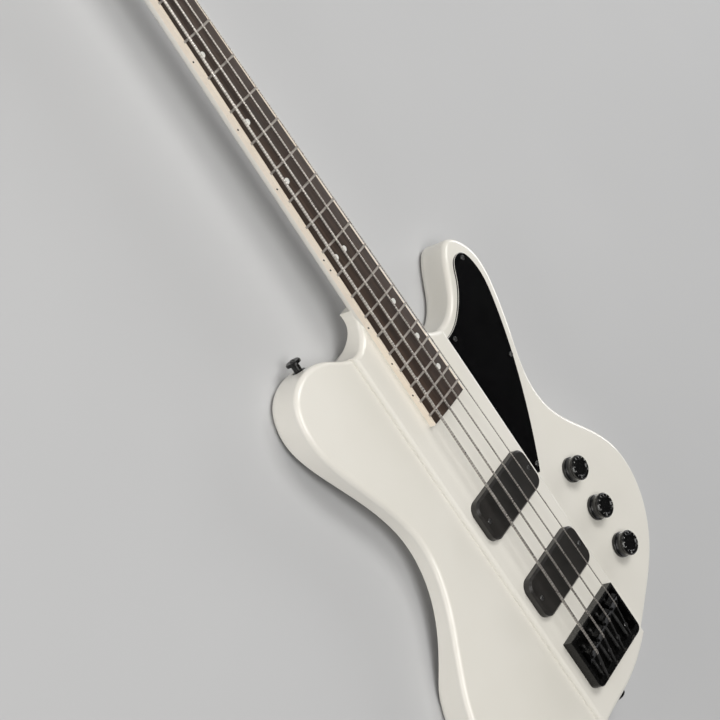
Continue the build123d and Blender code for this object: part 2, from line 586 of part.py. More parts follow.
tuner_plate = block(*PLATE_X, *PLATE_Y, -PLATE_T, 0)
tuner_plate = fillet(tuner_plate.edges().filter_by(Axis.Z), 3)
for x in BRACKET_X:
    tuner_plate += block(x, x + BRACKET_W, WORM_Y - 4.5, WORM_Y + 3.5, WORM_Z - 4.5, -PLATE_T)
tuner_plate = cut_all(tuner_plate, [on_worm(KEY_SHAFT_R + FIT, -REACH, REACH), post(POST_R + SLIP, 0, 0, -9, 1)]
                      + [post(SCREW_R + FIT, x, y, -9, 1) for x, y in plate_screws])

key_shaft = on_worm(KEY_SHAFT_R, KEY_X + 8, BRACKET_X[1] + BRACKET_W + 1)
key_shaft += on_worm(WORM_R, 1 - GEAR_R, GEAR_R - 1)
key_shaft += on_worm(KEY_SHAFT_R + 1.5, KEY_X + 10, BRACKET_X[0] - 0.5)
key_face = Plane(origin=(KEY_X, WORM_Y, WORM_Z), x_dir=(1, 0, 0), z_dir=(0, 1, 0)) * Ellipse(*KEY_SIZE[:2])
key_button = extrude(key_face, KEY_SIZE[2] / 2, both=True)
key_button = chamfer(key_button.edges(), KEY_EDGE) - on_worm(KEY_SHAFT_R, KEY_X + 8, KEY_X + 20)

half_tooth = radians(360 / GEAR_TEETH / 2)
rim = [(k * half_tooth + side * half_tooth / 4, GEAR_R - TOOTH_DEPTH * (k % 2))
       for k in range(2 * GEAR_TEETH) for side in (-1, 1)]
gear_plan = make_face(Polyline(*[(r * cos(a), r * sin(a)) for a, r in rim], close=True))
gear = layer(gear_plan, WORM_Z - GEAR_T / 2, WORM_Z + GEAR_T / 2) - post(POST_R, 0, 0, -REACH, 0)

waist_low, waist_high, spindle_top = (HEAD_T + rise for rise in (*POST_WAIST, POST_RISE))
spindle = post(POST_R, 0, 0, WORM_Z - GEAR_T / 2, waist_low) + post(POST_WAIST_R, 0, 0, waist_low, waist_high)
spindle += post(POST_R, 0, 0, waist_high, spindle_top)
spindle -= block(-POST_SLOT[0] / 2, POST_SLOT[0] / 2, -POST_R, POST_R, spindle_top - POST_SLOT[1], spindle_top + 1)
sleeve = post(SLEEVE_R, 0, 0, 0, HEAD_T)
sleeve += post(SLEEVE_R + SLEEVE_FLANGE[0], 0, 0, HEAD_T, HEAD_T + SLEEVE_FLANGE[1])
sleeve -= post(POST_R + FIT, 0, 0, -1, waist_low)

save("tuner_plates", *[spot * tuner_plate for spot in tuners])
save("tuner_bushings", *[spot * sleeve for spot in tuners])
save("tuner_screws", *[spot * Pos(x, y, -PLATE_T) * Rot(180, 0, 0) * screw(0, 0, 0, 7)
                       for spot in tuners for x, y in plate_screws])
for i, spot in enumerate(tuners):
    save(f"tuner_key_{i + 1}", spot * key_shaft, spot * key_button)
    save(f"string_post_{i + 1}", spot * spindle, spot * gear)
    save(f"string_{STRING_NAMES[i]}", string(i))

retainer = block(RETAINER[0] - RETAINER_HALF[0], RETAINER[0] + RETAINER_HALF[0], RETAINER[1] - RETAINER_HALF[1],
                 RETAINER[1] + RETAINER_HALF[1], RETAINER_Z, RETAINER_Z + RETAINER_T)
retainer = chamfer(retainer.edges().filter_by(Axis.X), RETAINER_T / 4)
retainer += post(RETAINER_HALF[1], *RETAINER, HEAD_TOP, RETAINER_Z)
retainer += post(SCREW_R, *RETAINER, HEAD_TOP - TRUSS_SCREW_L + 1, HEAD_TOP)
save("string_retainer", retainer)

save("pickguard", cut_all(pickguard, guard_holes))
save("pickguard_screws", *[screw(x, y, WING_T + GUARD_T, 12) for x, y in GUARD_SCREWS])
save("pickup_neck", covers["neck"])
save("pickup_bridge", covers["bridge"])
save("pickup_cores", *cores)
save("pickup_foam", *foams)
save("pickup_screws", *[screw(x, y, screw_seat, screw_seat - ROUT_FLOOR + 8) for x, y in pickup_screws])

save("bridge_base", bridge)
save("bridge_screws", *[screw(x, y, BRIDGE_FLOOR, BRIDGE_SCREW_L) for x, y in bridge_screws])
save("intonation_screws", *intonation)
for i, (saddle, lifts) in enumerate(saddles):
    save(f"saddle_{i + 1}", saddle, *lifts)

# Controls: pots in the cavity, waisted knobs with a dished top on their shafts
waist = ThreePointArc((KNOB_R, KNOB_FLANGE), (KNOB_WAIST_R, (KNOB_FLANGE + KNOB_H - KNOB_RIM[1]) / 2),
                      (KNOB_RIM[0], KNOB_H - KNOB_RIM[1]))
crest = Polyline(waist @ 1, (KNOB_RIM[0], KNOB_H - KNOB_BEVEL), (KNOB_RIM[0] - KNOB_BEVEL, KNOB_H),
                 (KNOB_DISH[0], KNOB_H), (KNOB_DISH[0] - KNOB_DISH[1], KNOB_H - KNOB_DISH[1]),
                 (0, KNOB_H - KNOB_DISH[1]), (0, 0), (KNOB_R, 0), waist @ 0)
knob = Pos(KNOB_X, 0, WING_T + KNOB_FOOT) * revolve(Plane.XZ * make_face(waist + crest), Axis.Z)
knob -= post(KNOB_R - KNOB_WALL, KNOB_X, 0, WING_T, WING_T + KNOB_FOOT + KNOB_HOLLOW)
knob -= post(SHAFT_R, KNOB_X, 0, WING_T, SHAFT_TOP)
for i, y in enumerate(KNOB_Y):
    save(f"knob_{i + 1}", Pos(0, y, 0) * knob)
    save(f"pot_shaft_{i + 1}", post(SHAFT_R, KNOB_X, y, CAVITY_ROOF - SHAFT_DEEP, SHAFT_TOP))
pot = post(POT_R, KNOB_X, 0, CAVITY_ROOF - POT_H, CAVITY_ROOF)
pot += post(BUSHING_R, KNOB_X, 0, CAVITY_ROOF, WING_T + 4)
pot -= post(SHAFT_R + FIT, KNOB_X, 0, CAVITY_ROOF - SHAFT_DEEP, WING_T + 9)
pot_nut = Pos(KNOB_X, 0, WING_T) * hex_nut(*POT_NUT, BUSHING_R + FIT)
save("pots", *[Pos(0, y, 0) * pot for y in KNOB_Y])
save("pot_nuts", *[Pos(0, y, 0) * pot_nut for y in KNOB_Y])

# Output jack on the lower edge
plate = Pos(0, 0, JACK_PLATE[2] / 2) * Box(*JACK_PLATE)
plate = fillet(plate.edges().filter_by(Axis.Z), JACK_PLATE_CORNER_R) - Cylinder(JACK_SLEEVE_R + FIT, 9)
plate = cut_all(plate, [spot * Cylinder(SCREW_R + FIT, 9) for spot in jack_screw_spots])
jack = Pos(0, 0, -JACK_BARREL_L / 2) * Cylinder(JACK_BARREL_R, JACK_BARREL_L)
jack += Pos(0, 0, JACK_RISE / 2) * Cylinder(JACK_SLEEVE_R, JACK_RISE)
jack -= Cylinder(JACK_R, 3 * JACK_BARREL_L)
save("jack_plate", jack_frame * plate)
save("output_jack", jack_frame * jack)
save("jack_nut", jack_frame * Pos(0, 0, JACK_PLATE[2]) * hex_nut(*JACK_NUT, JACK_SLEEVE_R + FIT))
save("jack_screws", *[jack_frame * spot * screw(0, 0, JACK_PLATE[2], 12) for spot in jack_screw_spots])

# Back cover with sunk screws, and strap buttons
cover_seat = SCREW_HEAD_H + FIT
cover = cut_all(extrude(cover_plan, COVER_T), [post(SCREW_R + FIT, x, y, -1, COVER_T + 1) for x, y in cover_screws]
                + [post(SCREW_HEAD_R + FIT, x, y, -1, cover_seat) for x, y in cover_screws])
save("control_cover", cover)
save("control_cover_screws", *[Pos(x, y, cover_seat) * Rot(180, 0, 0) * screw(0, 0, 0, COVER_SCREW_L)
                               for x, y in cover_screws])
button = Pos(0, 0, BUTTON_FOOT[1] / 2) * Cylinder(*BUTTON_FOOT)
button += Pos(0, 0, BUTTON_L / 2) * Cylinder(BUTTON_WAIST_R, BUTTON_L)
button += Pos(0, 0, BUTTON_L - BUTTON_HEAD[1] / 2) * Cylinder(*BUTTON_HEAD)
button = chamfer(button.edges().filter_by(GeomType.CIRCLE).sort_by(Axis.Z)[-1], 1.0)
button -= Cylinder(SCREW_R + FIT, 3 * BUTTON_L)
save("strap_buttons", *[frame * button for frame in button_frames.values()])
save("strap_screws", *[frame * screw(0, 0, BUTTON_L, BUTTON_L + BUTTON_SCREW_L) for frame in button_frames.values()])
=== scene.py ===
import math

import bmesh
import bpy
from mathutils import Matrix, Vector


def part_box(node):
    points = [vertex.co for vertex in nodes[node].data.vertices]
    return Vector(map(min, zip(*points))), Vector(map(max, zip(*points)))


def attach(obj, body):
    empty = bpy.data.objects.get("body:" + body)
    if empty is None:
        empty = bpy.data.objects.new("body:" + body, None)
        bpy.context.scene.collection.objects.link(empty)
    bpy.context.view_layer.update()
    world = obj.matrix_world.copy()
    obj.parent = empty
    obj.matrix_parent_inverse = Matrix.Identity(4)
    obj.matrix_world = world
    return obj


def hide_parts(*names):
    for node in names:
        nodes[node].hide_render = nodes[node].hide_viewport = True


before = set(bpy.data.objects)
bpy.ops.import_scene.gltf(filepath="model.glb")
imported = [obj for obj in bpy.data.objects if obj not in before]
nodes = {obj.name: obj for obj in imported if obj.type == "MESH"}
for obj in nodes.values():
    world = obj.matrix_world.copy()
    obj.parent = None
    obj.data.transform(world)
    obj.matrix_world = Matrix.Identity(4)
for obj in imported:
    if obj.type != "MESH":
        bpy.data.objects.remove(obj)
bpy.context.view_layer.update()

MM = 0.001

# Sizes shared with the CAD source, in mm
SCALE, NUT_T, WING_T, HEAD_TOP, BODY_T = 864.0, 5.0, 37.0, 38.0, 42.0
STRINGS = "eadg"
STRING_R = [1.34, 1.08, 0.83, 0.57]
SADDLE_Y = [-12.0, -8.0, -4.0, -1.0]
SADDLE_TRAVEL = 3.0
NUT_PITCH, BRIDGE_PITCH = 10.2, 20.0
NUT_SEAT_Z = 52.1288
BRIDGE_SEAT_Z = NUT_SEAT_Z + 4.5
TAIL_Y, TAIL_Z = -46.0, 51.6
TUNER_ONE, TUNER_STEP = (-18.0, 908.0), (9.6, 41.5)
POST_WAIST_R, SLIP, WRAP_TURNS, WRAP_GAP = 4.0, 0.3, 2.25, 0.15
POST_TOP = HEAD_TOP + 16.0
WRAP_Z = HEAD_TOP + 5.0
RETAINER_EDGE_Y, RETAINER_Z = 909.0, HEAD_TOP + 8.0
KNOB_X, KNOB_Y = 106.0, [110.0, 62.5, 15.0]
KNOB_TOP, KNOB_R = WING_T + 14.0, 12.8
WORM_Y, WORM_Z, WORM_R, GEAR_R = -13.8, -6.5, 4.0, 9.5
HEAD_BOTTOM = HEAD_TOP - 13.0
BUTTON_Z, BUTTON_L, JACK_PLATE_T, SCREW_HEAD_T = 19.0, 13.0, 2.0, 1.4
HORN_BUTTON, TAIL_BUTTON, JACK_SEAT = (-107.1, 385.7, 88.0), (0.0, -77.5, -83.5), (120.5, -30.5, -59.2)


# ---------------------------------------------------------------- materials
class Finish:
    """A procedural material: a Principled shader and the nodes that vary it."""

    def __init__(self, name, **inputs):
        self.material = bpy.data.materials.new(name)
        self.material.use_nodes = True
        self.tree = self.material.node_tree
        self.shader = self.tree.nodes["Principled BSDF"]
        for key, value in inputs.items():
            self.shader.inputs[key.replace("_", " ")].default_value = value

    def node(self, kind, **settings):
        made = self.tree.nodes.new(kind)
        for key, value in settings.items():
            setattr(made, key, value)
        return made

    def link(self, start, end):
        self.tree.links.new(start, end)

    def place(self, stretch=(1, 1, 1)):
        """Object coordinates in metres, stretched by axis."""
        mapping = self.node("ShaderNodeMapping")
        mapping.inputs["Scale"].default_value = stretch
        self.link(self.node("ShaderNodeTexCoord").outputs["Object"], mapping.inputs["Vector"])
        return mapping.outputs["Vector"]

    def noise(self, scale, stretch=(1, 1, 1), detail=4.0, roughness=0.55, distortion=0.0):
        made = self.node("ShaderNodeTexNoise")
        made.inputs["Scale"].default_value = scale
        made.inputs["Detail"].default_value = detail
        made.inputs["Roughness"].default_value = roughness
        made.inputs["Distortion"].default_value = distortion
        self.link(self.place(stretch), made.inputs["Vector"])
        return made.outputs["Fac"]

    def cells(self, scale, stretch=(1, 1, 1), output="Distance"):
        made = self.node("ShaderNodeTexVoronoi")
        made.inputs["Scale"].default_value = scale
        self.link(self.place(stretch), made.inputs["Vector"])
        return made.outputs[output]

    def height(self):
        """Z in metres."""
        split = self.node("ShaderNodeSeparateXYZ")
        self.link(self.place(), split.inputs["Vector"])
        return split.outputs["Z"]

    def ramp(self, value, *stops):
        """Colours along a value; each stop is (place, colour)."""
        made = self.node("ShaderNodeValToRGB")
        ends = made.color_ramp.elements
        while len(ends) < len(stops):
            ends.new(0.5)
        for end, (place, colour) in zip(ends, stops):
            end.position = place
            end.color = (*colour, 1.0)
        self.link(value, made.inputs["Fac"])
        return made.outputs["Color"]

    def remap(self, value, low, high, out_low, out_high):
        made = self.node("ShaderNodeMapRange")
        for index, number in enumerate((low, high, out_low, out_high), start=1):
            made.inputs[index].default_value = number
        self.link(value, made.inputs["Value"])
        return made.outputs["Result"]

    def mix(self, factor, a, b, blend="MIX"):
        made = self.node("ShaderNodeMix", data_type="RGBA", blend_type=blend)
        for socket, value in ((made.inputs[0], factor), (made.inputs[6], a), (made.inputs[7], b)):
            if isinstance(value, bpy.types.NodeSocket):
                self.link(value, socket)
            else:
                socket.default_value = value
        return made.outputs[2]

    def colour(self, value):
        self.link(value, self.shader.inputs["Base Color"])
        return self

    def rough(self, value):
        self.link(value, self.shader.inputs["Roughness"])
        return self

    def bump(self, value, strength, distance=0.0002):
        made = self.node("ShaderNodeBump")
        made.inputs["Strength"].default_value = strength
        made.inputs["Distance"].default_value = distance
        self.link(value, made.inputs["Height"])
        if self.shader.inputs["Normal"].is_linked:
            self.link(self.shader.inputs["Normal"].links[0].from_socket, made.inputs["Normal"])
        self.link(made.outputs["Normal"], self.shader.inputs["Normal"])
        return self


def lacquer():
    """Off-white gloss lacquer, very slightly uneven, with a faint orange peel."""
    made = Finish("lacquer_white", Roughness=0.4, Coat_Weight=0.7, Coat_Roughness=0.08, Coat_IOR=1.5)
    made.colour(made.ramp(made.noise(7, detail=3), (0.35, (0.735, 0.715, 0.655)), (0.65, (0.765, 0.745, 0.69))))
    made.rough(made.remap(made.noise(40, detail=3), 0.3, 0.7, 0.36, 0.44))
    return made.bump(made.noise(260, detail=0), 0.02, 0.0001)


def rosewood():
    """Dark brown open-pored wood with grain along the neck."""
    made = Finish("rosewood", Roughness=0.45, Specular_IOR_Level=0.45)
    streaks = made.ramp(made.noise(9, (26, 0.8, 26), detail=6, distortion=0.6),
                        (0.25, (0.014, 0.0075, 0.0045)), (0.5, (0.034, 0.019, 0.0115)),
                        (0.8, (0.068, 0.04, 0.025)))
    pores = made.ramp(made.cells(60, (26, 1.1, 26)), (0.03, (0.35, 0.3, 0.28)), (0.14, (1.0, 1.0, 1.0)))
    made.colour(made.mix(0.85, streaks, pores, "MULTIPLY"))
    made.rough(made.remap(made.noise(30, (20, 1, 20)), 0.3, 0.7, 0.36, 0.55))
    return made.bump(made.cells(60, (26, 1.1, 26)), 0.25, 0.0001)


def plastic(name, dark, light, roughness, grain=900.0, strength=0.05, coat=0.0):
    """Moulded plastic with slight mottling and a fine skin."""
    made = Finish(name, Roughness=roughness, Coat_Weight=coat, Coat_Roughness=0.06)
    made.colour(made.ramp(made.noise(45, detail=5), (0.3, dark), (0.7, light)))
    made.rough(made.remap(made.noise(260, detail=6), 0.3, 0.7, roughness * 0.85, roughness * 1.2))
    return made.bump(made.noise(grain, detail=2), strength, 0.0001)


def guard_plastic():
    """Three-ply sheet: glossy black faces with a pale ply that shows as a line on the bevel."""
    made = Finish("pickguard_ply", Roughness=0.16, Coat_Weight=0.25, Coat_Roughness=0.04)
    black = made.ramp(made.noise(60, detail=4), (0.3, (0.0008, 0.0008, 0.0009)), (0.7, (0.0018, 0.0018, 0.002)))
    low, high = (WING_T + 1.35) * MM, (WING_T + 1.85) * MM
    above = made.remap(made.height(), low - 2e-5, low + 2e-5, 0, 1)
    below = made.remap(made.height(), high - 2e-5, high + 2e-5, 1, 0)
    both = made.node("ShaderNodeMath", operation="MULTIPLY")
    made.link(above, both.inputs[0])
    made.link(below, both.inputs[1])
    made.colour(made.mix(both.outputs[0], black, (0.55, 0.54, 0.51, 1.0)))
    made.rough(made.remap(made.noise(220, detail=6), 0.3, 0.7, 0.12, 0.22))
    return made.bump(made.noise(30, detail=2), 0.04, 0.0002)


def metal(name, dark, light, roughness, metallic=1.0, stretch=(1, 1, 1), strength=0.06):
    """Plated or painted metal with handling marks."""
    made = Finish(name, Metallic=metallic, Roughness=roughness)
    made.colour(made.ramp(made.noise(120, stretch, detail=6), (0.3, dark), (0.7, light)))
    made.rough(made.remap(made.noise(340, stretch, detail=7), 0.3, 0.7, roughness * 0.75, roughness * 1.25))
    return made.bump(made.noise(700, stretch, detail=3), strength, 0.00008)


def wound_string(name, dark, light, turns_per_mm, metallic=1.0, roughness=0.3):
    """Wrap wire round a core: fine bands across the string."""
    made = Finish(name, Metallic=metallic, Roughness=roughness)
    bands = made.node("ShaderNodeTexWave", wave_type="BANDS", bands_direction="Y", wave_profile="SIN")
    bands.inputs["Scale"].default_value = turns_per_mm * 1000 / 20
    made.link(made.place(), bands.inputs["Vector"])
    worn = made.ramp(made.noise(40, (1, 3, 1), detail=5), (0.3, dark), (0.7, light))
    made.colour(made.mix(0.35, worn, bands.outputs["Color"], "MULTIPLY"))
    made.rough(made.remap(made.noise(150, detail=4), 0.3, 0.7, roughness * 0.8, roughness * 1.3))
    return made.bump(bands.outputs["Fac"], 0.35, 0.00012)


def pearl():
    """Shell-like inlay: pale with soft cool and warm patches."""
    made = Finish("pearl_inlay", Roughness=0.18, Coat_Weight=0.6, Coat_Roughness=0.04)
    made.colour(made.ramp(made.noise(420, detail=5, distortion=1.6), (0.3, (0.50, 0.56, 0.58)),
                          (0.5, (0.74, 0.73, 0.68)), (0.72, (0.60, 0.55, 0.58))))
    return made.bump(made.noise(800, detail=3), 0.05, 0.0001)


WHITE = lacquer()
ROSEWOOD = rosewood()
CREAM = plastic("binding_cream", (0.79, 0.695, 0.58), (0.85, 0.76, 0.645), 0.3, coat=0.4)
BONE = plastic("nut_bone", (0.66, 0.61, 0.50), (0.76, 0.71, 0.60), 0.38)
PEARL = pearl()
GUARD = guard_plastic()
SATIN_BLACK = plastic("pickup_black", (0.013, 0.012, 0.011), (0.021, 0.019, 0.017), 0.34, strength=0.12)
GLOSS_BLACK = plastic("knob_black", (0.0012, 0.0012, 0.0012), (0.003, 0.003, 0.003), 0.24, coat=0.3)
COVER_BLACK = plastic("cover_black", (0.010, 0.010, 0.010), (0.018, 0.018, 0.018), 0.5, strength=0.2)
FOAM = plastic("foam_grey", (0.02, 0.02, 0.02), (0.05, 0.05, 0.05), 0.9, grain=500, strength=0.8)
FRET = metal("fret_silver", (0.40, 0.365, 0.33), (0.52, 0.48, 0.44), 0.4, metallic=0.65, stretch=(1, 6, 1))
BLACK_METAL = metal("hardware_black", (0.0012, 0.0012, 0.0011), (0.0035, 0.0035, 0.0032), 0.28, metallic=0.2)
BLACK_CHROME = metal("screw_black", (0.06, 0.06, 0.06), (0.13, 0.13, 0.128), 0.3, metallic=0.7)
STEEL = metal("plain_steel", (0.36, 0.36, 0.35), (0.52, 0.51, 0.50), 0.34)
BALL = metal("ball_dark", (0.03, 0.028, 0.026), (0.07, 0.066, 0.06), 0.32)
WOUND = wound_string("string_wound", (0.42, 0.39, 0.36), (0.58, 0.545, 0.50), 2.2, metallic=0.8)
SILK = wound_string("string_silk", (0.006, 0.006, 0.006), (0.016, 0.015, 0.015), 3.0, metallic=0.0, roughness=0.75)
# near-black painted shade for the cross-head screw recesses, laid on as a solid insert instead of a cut hollow
RECESS_SHADE = plastic("recess_painted_shade", (0.002, 0.002, 0.002), (0.004, 0.004, 0.004), 0.6)
MARK = plastic("dial_print", (0.42, 0.42, 0.41), (0.55, 0.55, 0.53), 0.5)

DRESS = {
    WHITE: ["neck_through", "wing_bass", "wing_treble"],
    ROSEWOOD: ["fretboard"],
    CREAM: ["fretboard_binding"],
    FRET: ["frets"],
    PEARL: ["inlay_dots"],
    BONE: ["nut"],
    GUARD: ["pickguard"],
    SATIN_BLACK: ["pickup_neck", "pickup_bridge", "pickup_cores", "side_dots"],
    GLOSS_BLACK: ["knob_1", "knob_2", "knob_3", "truss_rod_cover"],
    COVER_BLACK: ["control_cover"],
    FOAM: ["pickup_foam"],
    BLACK_METAL: ["bridge_base", "saddle_1", "saddle_2", "saddle_3", "saddle_4", "tuner_plates", "tuner_bushings",
                  "string_retainer", "jack_plate", "jack_nut", "strap_buttons"]
    + [f"{part}_{i}" for part in ("tuner_key", "string_post") for i in range(1, 5)],
    BLACK_CHROME: ["bridge_screws", "intonation_screws", "pickup_screws", "pickguard_screws", "tuner_screws",
                   "truss_cover_screws", "jack_screws", "control_cover_screws", "strap_screws"],
    STEEL: ["truss_rod", "pots", "pot_nuts", "output_jack", "pot_shaft_1", "pot_shaft_2", "pot_shaft_3"],
    WOUND: [f"string_{name}" for name in STRINGS],
}
for finish, members in DRESS.items():
    for member in members:
        slots = nodes[member].data.materials
        if len(slots) == 0:
            slots.append(finish.material)
        for index in range(len(slots)):
            slots[index] = finish.material


# ---------------------------------------------------------------- mesh helpers
def piece(name, bm, body, finish, smooth_angle=40.0):
    """Turn a bmesh in mm into a named piece that rides on a CAD body."""
    bmesh.ops.scale(bm, vec=(MM, MM, MM), verts=bm.verts)
    bmesh.ops.recalc_face_normals(bm, faces=bm.faces)
    mesh = bpy.data.meshes.new(name)
    bm.to_mesh(mesh)
    bm.free()
    mesh.materials.append(finish.material)
    made = bpy.data.objects.new(name, mesh)
    bpy.context.scene.collection.objects.link(made)
    mesh.shade_smooth()
    mesh.set_sharp_from_angle(angle=math.radians(smooth_angle))
    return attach(made, body)


def tube(bm, points, radii, sides=12):
    """Closed tube along points, each with its own radius."""
    points = [Vector(p) for p in points]
    ahead = [(points[min(i + 1, len(points) - 1)] - points[max(i - 1, 0)]).normalized() for i in range(len(points))]
    side = ahead[0].orthogonal().normalized()
    rings = []
    for point, forward, radius in zip(points, ahead, radii):
        side = (side - forward * side.dot(forward)).normalized()
        up = forward.cross(side)
        turns = [2 * math.pi * k / sides for k in range(sides)]
        rings.append([bm.verts.new(point + (side * math.cos(a) + up * math.sin(a)) * radius) for a in turns])
    for low, high in zip(rings, rings[1:]):
        for k in range(sides):
            bm.faces.new((low[k], low[(k + 1) % sides], high[(k + 1) % sides], high[k]))
    bm.faces.new(list(reversed(rings[0])))
    bm.faces.new(rings[-1])


def rounded(points, radius, steps=6):
    """A path whose inner corners are replaced by short arcs."""
    points = [Vector(p) for p in points]
    path = [points[0]]
    for before, corner, after in zip(points, points[1:], points[2:]):
        a = corner + (before - corner).normalized() * radius
        b = corner + (after - corner).normalized() * radius
        for k in range(steps + 1):
            t = k / steps
            path.append(a * (1 - t) ** 2 + corner * 2 * t * (1 - t) + b * t ** 2)
    return path + [points[-1]]


def revolved(bm, profile, centre, steps=48, axis=Matrix.Identity(3)):
    """Closed solid of revolution from (radius, height) pairs that start and end on the axis."""
    rings = []
    for radius, height in profile:
        if radius < 1e-6:
            rings.append([bm.verts.new(centre + axis @ Vector((0, 0, height)))])
            continue
        turns = [2 * math.pi * k / steps for k in range(steps)]
        rings.append([bm.verts.new(centre + axis @ Vector((radius * math.cos(a), radius * math.sin(a), height)))
                      for a in turns])
    for low, high in zip(rings, rings[1:]):
        for k in range(steps):
            n = (k + 1) % steps
            corners = [low[k % len(low)], low[n % len(low)], high[n % len(high)], high[k % len(high)]]
            bm.faces.new(list(dict.fromkeys(corners)))


def frame_from(normal):
    """Rotation whose Z is the normal."""
    return Vector(normal).normalized().to_track_quat("Z", "Y").to_matrix()


def cross_recess(bm, centre, normal, radius, turn=0.0):
    """Cross-head recess: a four-armed tapered insert standing a hair above the head; its near-black finish is painted
    shade of the hollow.
    """
    base = frame_from(normal) @ Matrix.Rotation(turn, 3, "Z")
    arm, half = radius * 0.62, radius * 0.13
    corners = []
    for quarter in range(4):
        spin = Matrix.Rotation(quarter * math.pi / 2, 3, "Z")
        corners += [spin @ Vector(p) for p in ((half, half, 0), (arm, half * 0.8, 0), (arm, -half * 0.8, 0))]
    order = [corners[(i * 3 + j) % 12] for i in (0, 3, 2, 1) for j in (0, 1, 2)]
    top = [bm.verts.new(Vector(centre) + base @ (c + Vector((0, 0, 0.03)))) for c in order]
    low = [bm.verts.new(Vector(centre) + base @ (c * 0.9 - Vector((0, 0, 0.25)))) for c in order]
    bm.faces.new(top)
    bm.faces.new(list(reversed(low)))
    for k in range(len(top)):
        n = (k + 1) % len(top)
        bm.faces.new((top[k], low[k], low[n], top[n]))


# ---------------------------------------------------------------- strings
def string_point(i, y):
    """Point on a string's axis between the nut and its saddle."""
    x = (i - 1.5) * (NUT_PITCH + (BRIDGE_PITCH - NUT_PITCH) * (SCALE - y) / SCALE)
    return Vector((x, y, NUT_SEAT_Z + (BRIDGE_SEAT_Z - NUT_SEAT_Z) * (SCALE - y) / SCALE + STRING_R[i]))


def between(a, b, count):
    return [a.lerp(b, k / count) for k in range(count + 1)]


for i, name in enumerate(STRINGS):
    radius = STRING_R[i]
    bend_y = SADDLE_Y[i] - SADDLE_TRAVEL
    bend, at_nut = string_point(i, bend_y), string_point(i, SCALE + NUT_T / 2)
    tail = Vector((string_point(i, SADDLE_Y[i]).x, TAIL_Y, TAIL_Z))
    post = Vector((TUNER_ONE[0] + i * TUNER_STEP[0], TUNER_ONE[1] + i * TUNER_STEP[1], WRAP_Z))
    wrap_r, pitch = POST_WAIST_R + SLIP + radius, 2 * radius + WRAP_GAP
    coil_start = post + Vector((wrap_r, 0, 0))
    run = [at_nut, coil_start]
    if i > 1:
        held = at_nut.lerp(coil_start, (RETAINER_EDGE_Y - at_nut.y) / (coil_start.y - at_nut.y))
        run.insert(1, Vector((held.x, held.y, RETAINER_Z - radius - 0.1)))
    count = 48
    coil = [post + Vector((wrap_r * math.cos(a), wrap_r * math.sin(a), pitch * a / (2 * math.pi)))
            for a in (2 * math.pi * WRAP_TURNS * k / count for k in range(count + 1))]
    slot_turn = math.pi / 2 - math.atan2(*TUNER_STEP)
    dive = [post + Vector((r * math.cos(slot_turn), r * math.sin(slot_turn), 0)) for r in (0.6, 0.0)]
    for point, z in zip(dive, (POST_TOP - 2.2 - radius, POST_TOP - 5.0)):
        point.z = z
    silk_nut, silk_tail = at_nut.lerp(run[1], 0.42), bend.lerp(tail, 0.1)

    main = rounded([silk_tail, bend, *between(bend, at_nut, 2)[1:-1], at_nut, silk_nut], 1.2)
    bm = bmesh.new()
    tube(bm, main, [radius] * len(main), 14)
    wound = piece(f"string_{name}_wound", bm, "body", WOUND)
    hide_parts(f"string_{name}")

    peg = rounded([silk_nut, *run[1:-1], coil_start, coil[2]], 1.0)[:-1] + coil[2:]
    bm = bmesh.new()
    tube(bm, peg, [radius + 0.06] * len(peg), 12)
    tube(bm, between(silk_tail, tail, 4), [radius + 0.06] * 5, 12)
    piece(f"string_{name}_silk", bm, "body", SILK)

    bm = bmesh.new()
    barrel = [(0, -3.0), (1.6, -3.0), (2.0, -2.6), (2.0, -1.0), (1.5, -0.6), (1.5, 0.6), (2.0, 1.0), (2.0, 2.6),
              (1.6, 3.0), (0, 3.0)]
    revolved(bm, barrel, tail, 24, frame_from((1, 0, 0)))
    piece(f"string_{name}_ball", bm, "body", BALL)


# ---------------------------------------------------------------- screw recesses
def across_wall(x, y, angle, along):
    """Point and normal at a distance out from a seat on the body's edge."""
    normal = Vector((math.cos(math.radians(angle)), math.sin(math.radians(angle)), 0))
    return Vector((x, y, BUTTON_Z)) + normal * along, normal


def top_of(node, places, radius=2.6):
    """Upward screw heads of a node, all at its highest point."""
    return [(Vector((x, y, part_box(node)[1].z / MM)), Vector((0, 0, 1)), radius) for x, y in places]


def tuner_point(i, x, y, z):
    """Point in tuner i's own frame, whose origin is on the headstock's back under its post."""
    origin = Vector((TUNER_ONE[0] + i * TUNER_STEP[0], TUNER_ONE[1] + i * TUNER_STEP[1], HEAD_BOTTOM))
    return origin + Matrix.Rotation(-math.atan2(*TUNER_STEP), 3, "Z") @ Vector((x, y, z))


DOWN = Vector((0, 0, -1))
jack_centre, jack_normal = across_wall(*JACK_SEAT, JACK_PLATE_T + SCREW_HEAD_T)
recess_shades = {
    "pickup_screws": top_of("pickup_screws", [(s * 43.0, y) for s in (-1, 1) for y in (156.4, 62.9)]),
    "pickguard_screws": top_of("pickguard_screws", [(69, 296.5), (143, 344.5), (124.4, 240), (67.5, 146)]),
    "bridge_screws": top_of("bridge_screws", [(x, -36.0) for x in (-39, -20, 0, 20, 39)]),
    "truss_cover_screws": top_of("truss_cover_screws", [(0, 899.2), (-6.5, 882.2), (6.5, 882.2)]),
    "control_cover_screws": [(Vector((106 + u * 26.2, 65 + v * 66.2, 0.05)), DOWN, 2.6)
                             for u in (-1, 1) for v in (-1, 1)],
    "strap_screws": [(*across_wall(*seat, BUTTON_L + SCREW_HEAD_T), 2.6) for seat in (HORN_BUTTON, TAIL_BUTTON)],
    "jack_screws": [(jack_centre + Vector((0, 0, s * 13.0)), jack_normal, 2.6) for s in (-1, 1)],
    "tuner_screws": [(tuner_point(i, x, y, -3.4), DOWN, 2.6)
                     for i in range(4) for x, y in ((-15, -23), (-15, 8.5), (11, -23), (11, 8.5))],
}
